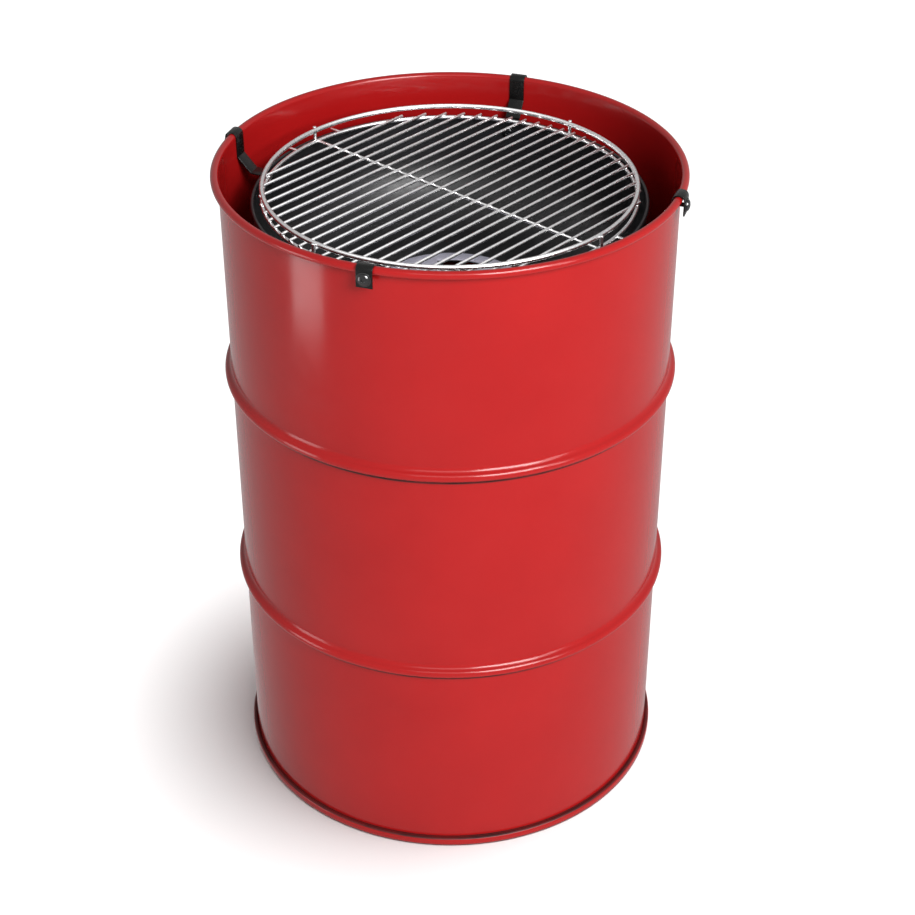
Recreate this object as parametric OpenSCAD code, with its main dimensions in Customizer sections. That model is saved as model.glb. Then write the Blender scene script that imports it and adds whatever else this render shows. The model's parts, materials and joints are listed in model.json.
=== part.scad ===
// Barrel charcoal grill: an open-topped steel drum with a fire bowl hung inside its rim on four
// hooked straps, a turning vent disc in the bowl's floor and a lift-off wire cooking grate.
// Millimetres, +Z up. The origin is on the drum's axis, on the floor. The straps lie on +X, +Y,
// -X and -Y.

/* [Barrel] */
// Outer radius of the barrel's wall
barrel_r = 286.5; // [284:0.5:292]
// Height of the barrel to the top of its rolled rim
barrel_h = 880; // [878:1:900]
// Thickness of the barrel's sheet
sheet_t = 1.2; // [1:0.1:1.4]
// Radius of the rolled rim's tube
rim_r = 5.15; // [5:0.05:5.3]
// Height of the lower hoop's crest
lower_hoop_z = 301.4; // [200:0.1:400]
// Height of the upper hoop's crest
upper_hoop_z = 603.5; // [500:0.1:640]
// How far a hoop stands out from the wall
hoop_h = 8.6; // [6:0.1:10]
// Half of a hoop's width at its foot
hoop_half_w = 13; // [11:0.5:18]
// Outer radius of a hoop's crest in section
hoop_crest_r = 6; // [4:0.1:6.5]
// Height of the seam that the barrel stands on
seam_h = 11.5; // [9:0.5:14]
// Corner radius of that seam
seam_r = 3.5; // [3:0.1:4]
// How far that seam stands out from the wall
seam_out = 6.5; // [5:0.1:8]
// Height of the closed bottom's upper face
bottom_z = 18; // [14:0.5:22]

/* [Fire bowl] */
// Outer radius of the fire bowl's wall
bowl_r = 246; // [245:0.5:246]
// Thickness of the fire bowl's sheet
bowl_t = 1.2; // [1:0.1:1.4]
// Height of the top of the bowl's rolled rim
bowl_top_z = 836.2; // [836:0.1:836.2]
// Radius of the bowl's rolled rim
bowl_rim_r = 2.3; // [2:0.1:2.4]
// Depth from the rim's top to the bowl's floor
bowl_depth = 136.2; // [110:0.1:160]
// Inside radius of the round corner between wall and floor
bowl_corner_r = 90; // [60:1:92]

/* [Vent] */
// Radius of the turning vent disc
vent_r = 101; // [96:1:140]
// Thickness of the vent disc
vent_t = 1.5; // [1:0.1:2]
// Inner radius of the vent slots
slot_in_r = 34; // [24:1:40]
// Outer radius of the vent slots
slot_out_r = 82; // [70:1:86]
// Angle that one slot spans
slot_span = 42; // [30:1:43]
// Direction of the first slot in the bowl
slot_azimuth = 95.5; // [0:0.5:180]
// How far the disc is turned from fully open
vent_turn = 5; // [0:1:40]

/* [Hangers] */
// Width of a hanger's strap
strap_w = 20; // [16:1:21]
// Thickness of a hanger's strap
strap_t = 2; // [1.6:0.1:2]
// Height of the lower end of a hanger's outer leg
outer_leg_z = 855.5; // [852:0.5:857]
// Height of the clamp screws
clamp_z = 866.5; // [865:0.1:866.5]
// Height of the bowl bolts
bolt_z = 817.5; // [815:0.1:818]

/* [Grate] */
// Radius of the upper ring's centre line
upper_ring_r = 233.5; // [231:0.5:234]
// Height of the upper ring's centre line
upper_ring_z = 854.7; // [850:0.1:860]
// Wire diameter of the upper ring
upper_wire_d = 6; // [5:0.1:6.4]
// Radius of the lower ring's centre line
lower_ring_r = 234; // [232:0.5:234]
// Wire diameter of the lower ring
lower_wire_d = 5; // [4:0.1:5]
// Wire diameter of the bars
bar_d = 4; // [3.5:0.1:4.5]
// Number of bars
bar_count = 22; // [16:2:24]
// Spacing of the bars
bar_pitch = 19.06; // [17:0.01:19.06]
// Direction that the bars run in
bar_azimuth = 66.9; // [55:0.1:75]
// Distance of each rest lug from the cross bar
lug_offset = 40; // [30:1:60]
// Radius that the tips of the rest lugs reach
lug_tip_r = 252; // [250:1:256]

/* [Hidden] */
$fn = 96;

// Barrel
inner_r = barrel_r - sheet_t;
rim_x = inner_r + rim_r;
rim_z = barrel_h - rim_r;
rim_open_angle = 20;
hoop_heights = [lower_hoop_z, upper_hoop_z];
// The crest arc and the two foot arcs meet in a common tangent
hoop_arcs = (hoop_half_w * hoop_half_w + hoop_h * hoop_h) / (2 * hoop_h);
hoop_foot_r = hoop_arcs - hoop_crest_r;
hoop_crest_x = barrel_r + hoop_h - hoop_crest_r;
seam_x = barrel_r + seam_out - seam_r;
bottom_corner_r = 5;
bottom_lip_z = 2;

// Fire bowl
bowl_in_r = bowl_r - bowl_t;
bowl_rim_x = bowl_r + 0.3;
bowl_rim_z = bowl_top_z - bowl_rim_r;
bowl_floor_z = bowl_top_z - bowl_depth;
bowl_floor_r = bowl_in_r - bowl_corner_r;
bowl_corner_z = bowl_floor_z + bowl_corner_r;

// Vent
run_gap = 0.3;
vent_z = bowl_floor_z + run_gap;
vent_azimuth = slot_azimuth + vent_turn;
rivet_r = 3;
rivet_hole_r = 3.05;
rivet_head_r = 7;
rivet_head_h = 2.6;
tab_w = 18;
tab_h = 12;

// Hangers. The centre line runs from the outer leg over the rim, down the barrel's inside wall,
// along a slanted stretch and a shelf to the bowl's outside wall.
strap_half = strap_t / 2;
wall_gap = 0.25;
hook_z = barrel_h + 0.05 + strap_half;
hook_bend_r = rim_r + wall_gap + strap_half;
hook_in_x = inner_r - wall_gap - strap_half;
hook_out_x = 299.8 - strap_half;
bowl_leg_x = bowl_r + 0.1 + strap_half;
strap_bend_r = 2.5;
strap_line = [
    [hook_out_x, outer_leg_z],
    [hook_out_x, hook_z],
    [hook_in_x, hook_z],
    [hook_in_x, 848.6],
    [267.1, 829],
    [bowl_leg_x, 827.2],
    [bowl_leg_x, 808]];
strap_bends = [0, hook_bend_r, hook_bend_r, strap_bend_r, strap_bend_r, strap_bend_r, 0];

// Fasteners, all M6
screw_r = 3;
thread_hole_r = 3.05;
clear_hole_r = 3.2;
head_r = 7;
head_h = 3.2;
washer_r = 9;
washer_t = 1;
nut_r = 5.77;
nut_h = 5;
clamp_face_x = hook_out_x + strap_half;
clamp_tip_x = barrel_r + 0.1;
bolt_face_x = bowl_in_r - 0.2;
bolt_end_x = 254.5;
nut_x = bowl_leg_x + strap_half;

// Grate
weld = 0.3;
lug_weld = 1.5;
lower_ring_z = bowl_top_z + run_gap + bar_d / 2;
bar_z = lower_ring_z + lower_wire_d / 2 + bar_d / 2 - weld;
bar_end_r = lower_ring_r + lower_wire_d / 2 + 0.8;
cross_bar_z = bar_z - bar_d + weld;
cross_bar_end = lower_ring_r - lower_wire_d / 2 + weld;
cross_azimuth = bar_azimuth - 90;
post_d = 5;
post_r = lower_ring_r + lower_wire_d / 2 + post_d / 2 - weld;
post_low_z = lower_ring_z - lower_wire_d / 2;
post_high_z = upper_ring_z + upper_wire_d / 2 - 0.2;

barrel_red = "#c4262c";
bowl_black = "#17171a";
strap_black = "#202023";
bolt_black = "#0c0c0e";
nut_grey = "#8e9196";
disc_grey = "#b9b6c6";
chrome_white = "#dfe2e6";

function unit(v) = v / norm(v);
function left_of(v) = [-v[1], v[0]];
function cross_2d(a, b) = a[0] * b[1] - a[1] * b[0];

// Where the chord of the given circle, at an offset from its centre, ends
function chord_half(radius, offset) = sqrt(radius * radius - offset * offset);

// Length cut from a straight run by the bend at corner i of a line
function tangent_cut(line, bends, i) =
    (i == 0 || i == len(line) - 1) ? 0 :
    bends[i] * tan(turn_angle(line, i) / 2);

// Angle by which a line turns at corner i
function turn_angle(line, i) =
    acos(unit(line[i] - line[i - 1]) * unit(line[i + 1] - line[i]));

// One straight run of a strap seen from its side
module strap_run(line, bends, i) {
    dir = unit(line[i + 1] - line[i]);
    start = line[i] + dir * tangent_cut(line, bends, i);
    end = line[i + 1] - dir * tangent_cut(line, bends, i + 1);
    side = left_of(dir) * strap_half;
    polygon([start + side, start - side, end - side, end + side]);
}

// The round bend of a strap at corner i
module strap_bend(line, bends, i) {
    dir_in = unit(line[i] - line[i - 1]);
    dir_out = unit(line[i + 1] - line[i]);
    turn = sign(cross_2d(dir_in, dir_out));
    cut = tangent_cut(line, bends, i);
    centre = line[i] - dir_in * cut + left_of(dir_in) * turn * bends[i];
    reach = 3 * bends[i];
    to_start = unit(line[i] - dir_in * cut - centre) * reach;
    to_end = unit(line[i] + dir_out * cut - centre) * reach;
    intersection() {
        translate(centre) difference() {
            circle(bends[i] + strap_half);
            circle(bends[i] - strap_half);
        }
        polygon([centre, centre + to_start, centre + to_start + to_end, centre + to_end]);
    }
}

module strap_outline(line, bends) {
    for (i = [0 : len(line) - 2]) strap_run(line, bends, i);
    for (i = [1 : len(line) - 2]) strap_bend(line, bends, i);
}

// Four copies, one on each of the directions +X, +Y, -X and -Y
module on_four_sides() {
    for (k = [0 : 3]) rotate([0, 0, 90 * k]) children();
}

// A cylinder lying along +X from x at height z
module rod_x(x, z, radius, length) {
    translate([x, 0, z]) rotate([0, 90, 0]) cylinder(h = length, r = radius);
}

// A domed head whose flat side faces -Z and rests on z = 0
module dome(radius, height) {
    ball_r = (radius * radius + height * height) / (2 * height);
    intersection() {
        translate([0, 0, height - ball_r]) sphere(ball_r);
        cylinder(h = height, r = radius);
    }
}

// Material under a hoop's outer surface, or under its inner one where skin is the sheet's thickness
module hoop_section(skin) {
    foot_x = barrel_r + hoop_foot_r;
    difference() {
        polygon([[barrel_r - skin, -hoop_half_w], [foot_x, -hoop_half_w], [hoop_crest_x, 0],
            [foot_x, hoop_half_w], [barrel_r - skin, hoop_half_w]]);
        for (side = [-1, 1]) {
            translate([foot_x, side * hoop_half_w]) circle(hoop_foot_r + skin);
        }
    }
    translate([hoop_crest_x, 0]) circle(hoop_crest_r - skin);
}

// The rolled seam that the barrel stands on
module seam_section() {
    translate([seam_x, seam_r]) circle(seam_r);
    translate([seam_x, seam_h - seam_r]) circle(seam_r);
    translate([seam_x, seam_r]) square([seam_r, seam_h - 2 * seam_r]);
    translate([inner_r, 0]) square([seam_x - inner_r, seam_h - seam_r]);
}

// The sheet rolled outwards at the top, open towards the wall
module rim_section() {
    reach = 2 * rim_r;
    translate([rim_x, rim_z]) difference() {
        circle(rim_r);
        circle(rim_r - sheet_t);
        polygon([[0, 0], [-reach, 0], [-reach, -reach], [-reach * tan(rim_open_angle), -reach]]);
    }
}

module shell_section() {
    difference() {
        union() {
            translate([inner_r, seam_r]) square([sheet_t, rim_z - seam_r]);
            for (z = hoop_heights) translate([0, z]) hoop_section(0);
        }
        for (z = hoop_heights) translate([0, z]) hoop_section(sheet_t);
        translate([inner_r - hoop_crest_r, 0]) square([hoop_crest_r, barrel_h]);
    }
    seam_section();
    rim_section();
}

module barrel_shell() {
    color(barrel_red) rotate_extrude() shell_section();
}

module barrel_bottom() {
    corner_x = inner_r - bottom_corner_r;
    corner_z = bottom_z - bottom_corner_r;
    color(barrel_red) rotate_extrude() {
        translate([0, bottom_z - sheet_t]) square([corner_x, sheet_t]);
        translate([inner_r - sheet_t, bottom_lip_z]) square([sheet_t, corner_z - bottom_lip_z]);
        intersection() {
            translate([corner_x, corner_z]) difference() {
                circle(bottom_corner_r);
                circle(bottom_corner_r - sheet_t);
            }
            translate([corner_x, corner_z]) square(bottom_corner_r + 1);
        }
    }
}

// One hanger, lying on +X
module hanger() {
    color(strap_black) difference() {
        translate([0, strap_w / 2, 0]) rotate([90, 0, 0])
            linear_extrude(strap_w) strap_outline(strap_line, strap_bends);
        rod_x(hook_out_x - strap_t, clamp_z, thread_hole_r, 2 * strap_t);
        rod_x(bowl_leg_x - strap_t, bolt_z, clear_hole_r, 2 * strap_t);
    }
}

module hanger_right() { hanger(); }
module hanger_back() { rotate([0, 0, 90]) hanger(); }
module hanger_left() { rotate([0, 0, 180]) hanger(); }
module hanger_front() { rotate([0, 0, 270]) hanger(); }

// Screws through the hangers' outer legs, bearing on the wall under the barrel's rim
module clamp_screws() {
    head_x = clamp_face_x + washer_t;
    color(bolt_black) on_four_sides() {
        rod_x(clamp_tip_x, clamp_z, screw_r, head_x - clamp_tip_x);
        translate([head_x, 0, clamp_z]) rotate([0, 90, 0]) dome(head_r, head_h);
    }
}

module clamp_washers() {
    color(bolt_black) on_four_sides() difference() {
        rod_x(clamp_face_x, clamp_z, washer_r, washer_t);
        rod_x(clamp_face_x - washer_t, clamp_z, clear_hole_r, 3 * washer_t);
    }
}

module fire_bowl() {
    color(bowl_black) difference() {
        rotate_extrude() {
            translate([bowl_in_r, bowl_corner_z]) square([bowl_t, bowl_rim_z - bowl_corner_z]);
            translate([bowl_rim_x, bowl_rim_z]) circle(bowl_rim_r);
            translate([0, bowl_floor_z - bowl_t]) square([bowl_floor_r, bowl_t]);
            intersection() {
                translate([bowl_floor_r, bowl_corner_z]) difference() {
                    circle(bowl_corner_r + bowl_t);
                    circle(bowl_corner_r);
                }
                translate([bowl_floor_r, bowl_floor_z - bowl_t])
                    square([bowl_corner_r + bowl_t, bowl_corner_r + bowl_t]);
            }
        }
        vent_slots(slot_azimuth, bowl_floor_z);
        translate([0, 0, bowl_floor_z - 2 * bowl_t]) cylinder(h = 3 * bowl_t, r = rivet_hole_r);
        on_four_sides() rod_x(bowl_in_r - bowl_t, bolt_z, clear_hole_r, 3 * bowl_t);
    }
}

// Four slots through a floor at height z, the first in the given direction
module vent_slots(azimuth, z) {
    reach = 2 * slot_out_r;
    half = slot_span / 2;
    for (k = [0 : 3]) {
        translate([0, 0, z - 4]) rotate([0, 0, azimuth + 90 * k]) linear_extrude(8) {
            intersection() {
                difference() {
                    circle(slot_out_r);
                    circle(slot_in_r);
                }
                polygon([[0, 0], [reach, -reach * tan(half)], [reach, reach * tan(half)]]);
            }
        }
    }
}

// Bolts from inside the bowl through its wall and the hangers' lower legs
module bowl_bolts() {
    head_x = bolt_face_x - washer_t;
    color(bolt_black) on_four_sides() {
        rod_x(head_x, bolt_z, screw_r, bolt_end_x - head_x);
        translate([head_x, 0, bolt_z]) rotate([0, -90, 0]) dome(head_r, head_h);
    }
}

module bowl_washers() {
    color(bolt_black) on_four_sides() difference() {
        rod_x(bolt_face_x - washer_t, bolt_z, washer_r, washer_t);
        rod_x(bolt_face_x - 2 * washer_t, bolt_z, clear_hole_r, 3 * washer_t);
    }
}

module bowl_nuts() {
    color(nut_grey) on_four_sides() difference() {
        translate([nut_x, 0, bolt_z]) rotate([0, 90, 0]) cylinder(h = nut_h, r = nut_r, $fn = 6);
        rod_x(nut_x - 1, bolt_z, thread_hole_r, nut_h + 2);
    }
}

// Disc on the bowl's floor with the same slots, and a tab to turn it by
module vent_damper() {
    color(disc_grey) {
        difference() {
            translate([0, 0, vent_z]) cylinder(h = vent_t, r = vent_r);
            vent_slots(vent_azimuth, vent_z);
            translate([0, 0, vent_z - 1]) cylinder(h = vent_t + 2, r = rivet_hole_r);
        }
        rotate([0, 0, vent_azimuth + 180])
            translate([vent_r - 2 * vent_t, -tab_w / 2, vent_z]) cube([vent_t, tab_w, tab_h]);
    }
}

module vent_rivet() {
    top_z = vent_z + vent_t + run_gap;
    low_z = bowl_floor_z - bowl_t;
    color(nut_grey) {
        translate([0, 0, low_z]) cylinder(h = top_z - low_z, r = rivet_r);
        translate([0, 0, top_z]) dome(rivet_head_r, rivet_head_h);
        translate([0, 0, low_z]) rotate([180, 0, 0]) dome(rivet_head_r, rivet_head_h);
    }
}

module wire_ring(radius, z, wire_d) {
    translate([0, 0, z]) rotate_extrude() translate([radius, 0]) circle(wire_d / 2);
}

// A straight wire along +X, from x1 to x2 at offset y and height z
module wire_x(x1, x2, y, z, wire_d) {
    translate([x1, y, z]) rotate([0, 90, 0]) cylinder(h = x2 - x1, r = wire_d / 2);
}

module grate_upper_ring() {
    color(chrome_white) wire_ring(upper_ring_r, upper_ring_z, upper_wire_d);
}

module grate_lower_ring() {
    color(chrome_white) wire_ring(lower_ring_r, lower_ring_z, lower_wire_d);
}

module grate_bars() {
    color(chrome_white) rotate([0, 0, bar_azimuth]) {
        for (i = [0 : bar_count - 1]) {
            y = (i - (bar_count - 1) / 2) * bar_pitch;
            half = chord_half(bar_end_r, y);
            wire_x(-half, half, y, bar_z, bar_d);
        }
    }
}

module grate_cross_bar() {
    color(chrome_white) rotate([0, 0, cross_azimuth])
        wire_x(-cross_bar_end, cross_bar_end, 0, cross_bar_z, bar_d);
}

module grate_posts() {
    color(chrome_white) for (k = [0 : 3]) {
        rotate([0, 0, bar_azimuth + 90 * k]) translate([post_r, 0, post_low_z])
            cylinder(h = post_high_z - post_low_z, r = post_d / 2);
    }
}

// Short wires that reach out over the bowl's rim and carry the grate
module grate_rest_lugs() {
    weld_x = chord_half(lower_ring_r + lower_wire_d / 2 - lug_weld, lug_offset);
    tip_x = chord_half(lug_tip_r, lug_offset);
    color(chrome_white) for (end = [0, 180], side = [-1, 1]) {
        rotate([0, 0, cross_azimuth + end])
            wire_x(weld_x, tip_x, side * lug_offset, lower_ring_z, bar_d);
    }
}

barrel_shell();
barrel_bottom();
hanger_front();
hanger_right();
hanger_back();
hanger_left();
clamp_screws();
clamp_washers();
fire_bowl();
bowl_bolts();
bowl_washers();
bowl_nuts();
vent_damper();
vent_rivet();
grate_upper_ring();
grate_lower_ring();
grate_bars();
grate_cross_bar();
grate_posts();
grate_rest_lugs();
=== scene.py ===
# Looks of a barrel charcoal grill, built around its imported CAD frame. Metres, +Z up.

import json
import math

import bmesh
import bpy
from mathutils import Matrix, Vector, noise

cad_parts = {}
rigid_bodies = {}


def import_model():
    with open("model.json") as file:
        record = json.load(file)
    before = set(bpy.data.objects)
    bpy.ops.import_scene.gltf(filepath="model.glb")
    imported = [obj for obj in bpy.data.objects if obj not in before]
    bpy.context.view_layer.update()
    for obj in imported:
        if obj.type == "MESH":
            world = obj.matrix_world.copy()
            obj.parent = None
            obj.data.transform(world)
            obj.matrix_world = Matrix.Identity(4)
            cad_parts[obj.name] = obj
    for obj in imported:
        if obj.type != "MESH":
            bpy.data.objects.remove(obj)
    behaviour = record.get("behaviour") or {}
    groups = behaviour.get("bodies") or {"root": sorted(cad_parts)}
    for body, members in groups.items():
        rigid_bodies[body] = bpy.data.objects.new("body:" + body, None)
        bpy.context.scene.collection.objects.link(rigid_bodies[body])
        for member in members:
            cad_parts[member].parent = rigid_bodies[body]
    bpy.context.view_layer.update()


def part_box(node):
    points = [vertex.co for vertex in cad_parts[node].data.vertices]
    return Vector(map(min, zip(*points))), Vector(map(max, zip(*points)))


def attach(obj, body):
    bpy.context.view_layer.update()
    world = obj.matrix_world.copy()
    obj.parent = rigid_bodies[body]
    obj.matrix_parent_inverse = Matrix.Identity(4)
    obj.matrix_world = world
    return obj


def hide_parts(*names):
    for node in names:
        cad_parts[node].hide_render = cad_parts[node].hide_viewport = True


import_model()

MM = 0.001

# Sizes that the frame's boxes don't give. They repeat the design's own dimensions.
SHEET_T = 1.2 * MM
RIM_R = 5.15 * MM
HOOP_HEIGHTS = (301.4 * MM, 603.5 * MM)
HOOP_H = 8.6 * MM
HOOP_HALF_W = 13 * MM
HOOP_CREST_R = 6 * MM
SEAM_H = 11.5 * MM
SEAM_R = 3.5 * MM
SEAM_OUT = 6.5 * MM
BOTTOM_CORNER_R = 5 * MM
BOWL_T = 1.2 * MM
BOWL_WALL_R = 246 * MM
BOWL_RIM_R = 2.3 * MM
BOWL_CORNER_R = 90 * MM
RIVET_HOLE_R = 3.05 * MM
SLOT_IN_R = 34 * MM
SLOT_OUT_R = 82 * MM
SLOT_SPAN = 42
SLOT_AZIMUTH = 95.5
VENT_TURN = 5
VENT_T = 1.5 * MM
STRAP_T = 2 * MM
HOOK_BEND_R = 6.4 * MM
STRAP_BEND_R = 2.5 * MM
STRAP_KNEE_Z = 848.6 * MM
STRAP_ELBOW_R = 267.1 * MM
STRAP_ELBOW_Z = 829 * MM
STRAP_SHOULDER_Z = 827.2 * MM
LEG_GAP = 0.25 * MM
SCREW_R = 3 * MM
WASHER_HOLE_R = 3.2 * MM
THREAD_PITCH = 1 * MM
THREAD_DEPTH = 0.4 * MM
HEAD_R = 7 * MM
HEAD_H = 3.2 * MM
SOCKET_HALF = 2 * MM
NUT_CORNER_R = 5.77 * MM
CLAMP_Z = 866.5 * MM
BOLT_Z = 817.5 * MM
BAR_COUNT = 22
BAR_PITCH = 19.06 * MM
BAR_AZIMUTH = 66.9
CROSS_AZIMUTH = BAR_AZIMUTH - 90
LUG_OFFSET = 40 * MM
LUG_TIP_R = 252 * MM
WIRE_WELD = 0.3 * MM
POST_R = 2.5 * MM

# Details that only the looks have.
BACK_SEAM = 128
# How far below each hoop's crest the painted shade line lies.
SHADE_LINE_BELOW_HOOP = 9.5 * MM
PRESSED_RING = (120 * MM, 235 * MM)
PRESSED_STEP = 1.6 * MM
TOP_RING_JOINT = 205
LOW_RING_JOINT = 320

QUARTERS = (0, 90, 180, 270)


# ---------------------------------------------------------------- outlines

def arc(cx, cz, radius, start, end, steps):
    """Points on an arc in the (r, z) plane, from one angle to another in degrees."""
    angles = [math.radians(start + (end - start) * i / steps) for i in range(steps + 1)]
    return [(cx + radius * math.cos(a), cz + radius * math.sin(a)) for a in angles]


def between(start, end, steps):
    """Points strictly between two (r, z) points."""
    return [tuple(a + (b - a) * i / steps for a, b in zip(start, end)) for i in range(1, steps)]


def joined(*stretches):
    """One line of points from several, without the repeats where they meet."""
    line = []
    for stretch in stretches:
        for point in stretch:
            if not line or math.dist(point, line[-1]) > 1e-6:
                line.append(point)
    return line


def even_angles(count):
    return [2 * math.pi * i / count for i in range(count)]


# ---------------------------------------------------------------- mesh building

class Shape:
    """Vertices and faces gathered from several solids."""

    def __init__(self):
        self.verts = []
        self.faces = []

    def add(self, verts, faces, place=None):
        base = len(self.verts)
        place = place or Matrix.Identity(4)
        self.verts += [place @ Vector(v) for v in verts]
        self.faces += [tuple(base + i for i in face) for face in faces]
        return self


def turned(outline, angles, closed=True, shift=None):
    """A closed (r, z) outline turned about Z, or an open one whose ends lie on Z.
    shift(point, angle) may move a point outwards."""
    verts = []
    for angle in angles:
        for point in outline:
            r = point[0] + (shift(point, angle) if shift else 0)
            verts.append((r * math.cos(angle), r * math.sin(angle), point[1]))
    faces = []
    n = len(outline)
    for j in range(len(angles)):
        here = j * n
        there = ((j + 1) % len(angles)) * n
        for i in range(n if closed else n - 1):
            k = (i + 1) % n
            faces.append((here + i, there + i, there + k, here + k))
    return verts, faces


def pierced(inner, outer, angles, is_hole):
    """A sheet turned about Z between two (r, z) lines, open in the cells that is_hole names."""
    rows = len(inner)
    cols = len(angles)
    verts = []
    for line in (inner, outer):
        for r, z in line:
            verts += [(r * math.cos(a), r * math.sin(a), z) for a in angles]

    def at(side, i, j):
        return (side * rows + i) * cols + j % cols

    def solid(i, j):
        return 0 <= i < rows - 1 and not is_hole(i, j % cols)

    faces = []
    for i in range(rows - 1):
        for j in range(cols):
            if not solid(i, j):
                continue
            for side in (0, 1):
                faces.append((at(side, i, j), at(side, i, j + 1),
                              at(side, i + 1, j + 1), at(side, i + 1, j)))
            if not solid(i - 1, j):
                faces.append((at(0, i, j), at(0, i, j + 1), at(1, i, j + 1), at(1, i, j)))
            if not solid(i + 1, j):
                faces.append((at(0, i + 1, j), at(0, i + 1, j + 1),
                              at(1, i + 1, j + 1), at(1, i + 1, j)))
            if not solid(i, j - 1):
                faces.append((at(0, i, j), at(0, i + 1, j), at(1, i + 1, j), at(1, i, j)))
            if not solid(i, j + 1):
                faces.append((at(0, i, j + 1), at(0, i + 1, j + 1),
                              at(1, i + 1, j + 1), at(1, i, j + 1)))
    return verts, faces


def piece(name, shape, body, material, replaces=(), sharp=35, bevel=0.0):
    """A finished object from a Shape: welded, with outward normals, smooth apart from sharp edges."""
    bm = bmesh.new()
    for v in shape.verts:
        bm.verts.new(v)
    bm.verts.ensure_lookup_table()
    for face in shape.faces:
        bm.faces.new([bm.verts[i] for i in face])
    bmesh.ops.remove_doubles(bm, verts=bm.verts, dist=1e-7)
    bmesh.ops.recalc_face_normals(bm, faces=bm.faces)
    if bevel:
        edges = [e for e in bm.edges if len(e.link_faces) == 2
                 and e.calc_face_angle(0) > math.radians(40)]
        bmesh.ops.bevel(bm, geom=edges, offset=bevel, segments=3, profile=0.5,
                        affect="EDGES", clamp_overlap=True)
    mesh = bpy.data.meshes.new(name)
    bm.to_mesh(mesh)
    bm.free()
    mesh.shade_smooth()
    mesh.set_sharp_from_angle(angle=math.radians(sharp))
    mesh.materials.append(material)
    obj = bpy.data.objects.new(name, mesh)
    bpy.context.scene.collection.objects.link(obj)
    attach(obj, body)
    if replaces:
        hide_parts(*replaces)
    return obj


def aimed(start, direction):
    """Places a shape that was turned about Z so that it starts at a point and runs a given way."""
    turn = Vector(direction).to_track_quat("Z", "Y").to_matrix().to_4x4()
    return Matrix.Translation(Vector(start)) @ turn


def about_z(degrees):
    return Matrix.Rotation(math.radians(degrees), 4, "Z")


# ---------------------------------------------------------------- small solids

def rod(radius, length, rounding, sides=20):
    """A rod along Z whose ends are rounded off."""
    outline = joined(
        [(0, 0)],
        arc(radius - rounding, rounding, rounding, -90, 0, 4),
        arc(radius - rounding, length - rounding, rounding, 0, 90, 4),
        [(0, length)])
    return turned(outline, even_angles(sides), closed=False)


def threaded_rod(length, sides=24, rings_per_turn=6):
    """A rod along Z with a helical thread and a chamfered far end."""
    rings = round(length / THREAD_PITCH * rings_per_turn)
    outline = [(0, 0)] + [(SCREW_R, length * i / rings) for i in range(rings + 1)] + [(0, length)]

    def groove(point, angle):
        r, z = point
        if r == 0:
            return 0
        phase = (z / THREAD_PITCH - angle / (2 * math.pi)) % 1
        depth = THREAD_DEPTH * abs(2 * phase - 1)
        chamfer = max(0, z - (length - THREAD_PITCH)) * 0.7
        return -max(depth, chamfer)

    return turned(outline, even_angles(sides), closed=False, shift=groove)


def hexagon_radius(flat, angle):
    """Distance from the middle to the side of a hexagon, given half its width across flats."""
    off = angle % (math.pi / 3) - math.pi / 6
    return flat / math.cos(off)


def domed_head(radius, height, socket=0.0, sides=72):
    """A domed head standing on z = 0, with a hexagon socket of a given half width across flats."""
    edge = 0.5 * MM
    rise = height - edge
    dome = [(radius * math.cos(t), edge + rise * math.sin(t))
            for t in (math.radians(90 * i / 24) for i in range(25))]
    outline = joined([(0, 0)], arc(radius - 0.2 * MM, 0.2 * MM, 0.2 * MM, -90, 0, 3), dome)
    if not socket:
        return turned(outline[:-1] + [(0, height)], even_angles(sides), closed=False)
    lip = socket * 1.25
    kept = [p for p in outline if p[0] > lip or p[1] == 0]
    top = edge + rise * math.sqrt(1 - (lip / radius) ** 2)
    walls = [(socket, top - 0.25 * MM), (socket, height - 2 * MM)]

    def to_hexagon(point, angle):
        return hexagon_radius(socket, angle) - socket if point in walls else 0

    outline = kept + [(lip, top)] + walls + [(0, height - 2.4 * MM)]
    return turned(outline, even_angles(sides), closed=False, shift=to_hexagon)


def washer(inner_r, outer_r, height, sides=48):
    """A flat washer on z = 0 with rounded outer edges."""
    soft = 0.25 * MM
    outline = joined(
        [(inner_r, 0)],
        arc(outer_r - soft, soft, soft, -90, 0, 3),
        arc(outer_r - soft, height - soft, soft, 0, 90, 3),
        [(inner_r, height)])
    return turned(outline, even_angles(sides))


def hex_nut(across_corners, inner_r, height, sides=72):
    """A hexagon nut on z = 0 whose corners are cut by a cone at both ends."""
    levels = [0, 0.25, 0.5, 0.8, 1.2, 3.8, 4.2, 4.5, 4.75, 5]
    flat = across_corners * math.cos(math.pi / 6)
    verts = []
    angles = even_angles(sides)
    for angle in angles:
        sector = (angle + math.pi / 6) % (math.pi / 3) - math.pi / 6
        hexagon = flat / math.cos(math.pi / 6 - abs(sector))
        for level in levels:
            z = level * MM * height / (5 * MM)
            cone = flat - 0.2 * MM + 1.73 * min(z, height - z)
            r = min(hexagon, cone)
            verts.append((r * math.cos(angle), r * math.sin(angle), z))
        for z in (height, 0):
            verts.append((inner_r * math.cos(angle), inner_r * math.sin(angle), z))
    n = len(levels) + 2
    faces = []
    for j in range(sides):
        here = j * n
        there = ((j + 1) % sides) * n
        faces += [(here + i, there + i, there + (i + 1) % n, here + (i + 1) % n) for i in range(n)]
    return verts, faces


def bead(size_x, size_y, size_z):
    """A small rounded blob of weld metal."""
    outline = arc(0, 0, 1, -90, 90, 6)
    verts, faces = turned(outline, even_angles(10), closed=False)
    return [(x * size_x, y * size_y, z * size_z) for x, y, z in verts], faces


# ---------------------------------------------------------------- materials

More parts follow.
